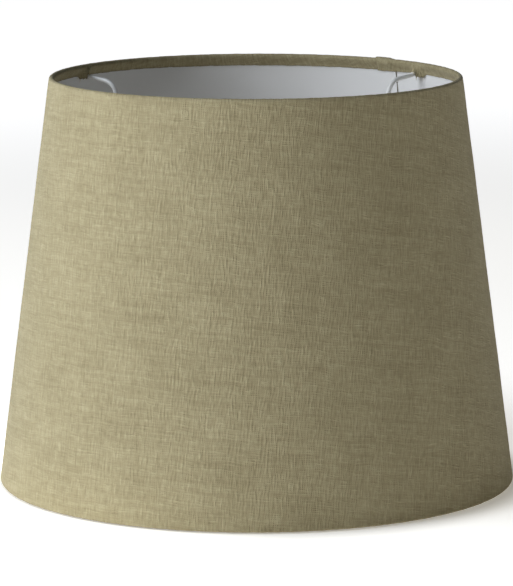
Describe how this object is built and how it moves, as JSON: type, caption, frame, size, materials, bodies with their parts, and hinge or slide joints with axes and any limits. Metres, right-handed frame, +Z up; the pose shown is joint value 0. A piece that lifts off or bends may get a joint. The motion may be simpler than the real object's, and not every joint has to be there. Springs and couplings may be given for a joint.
{
  "type": "lamp shade",
  "caption": "Tapered hardback lamp shade in linen cloth over a white liner, with rolled rims and a recessed drop spider whose collar fits over a lampholder.",
  "frame": {"origin": "centre of the circle that the shade stands on", "axes": "+Z up along the shade's axis, out of its narrow end; +Y towards its back, where the lap seam is 49 degrees round from +X"},
  "size_m": [0.4192, 0.4192, 0.3316],
  "materials": {
    "linen_cloth": "plain linen weave with slubs, olive sand, matt",
    "white_sheet": "smooth satin white sheet",
    "seam_strip": "double-sided adhesive strip",
    "white_coating": "white powder coat, satin",
    "insert_plastic": "moulded white plastic, satin"
  },
  "bodies": {
    "shade": {"fabric_cover": "linen_cloth", "liner": "white_sheet", "seam_tape": "seam_strip", "top_ring": "white_coating", "bottom_ring": "white_coating", "spider_arm_right": "white_coating", "spider_arm_left": "white_coating", "spider_arm_front": "white_coating", "fitter_ring": "white_coating"},
    "reducer": {"reducer_ring": "insert_plastic"}
  },
  "joints": [
    {"name": "reducer_lift", "type": "slide", "parent": "shade", "child": "reducer", "axis": [0, 0, 1], "range_m": [0, 0.075]}
  ]
}
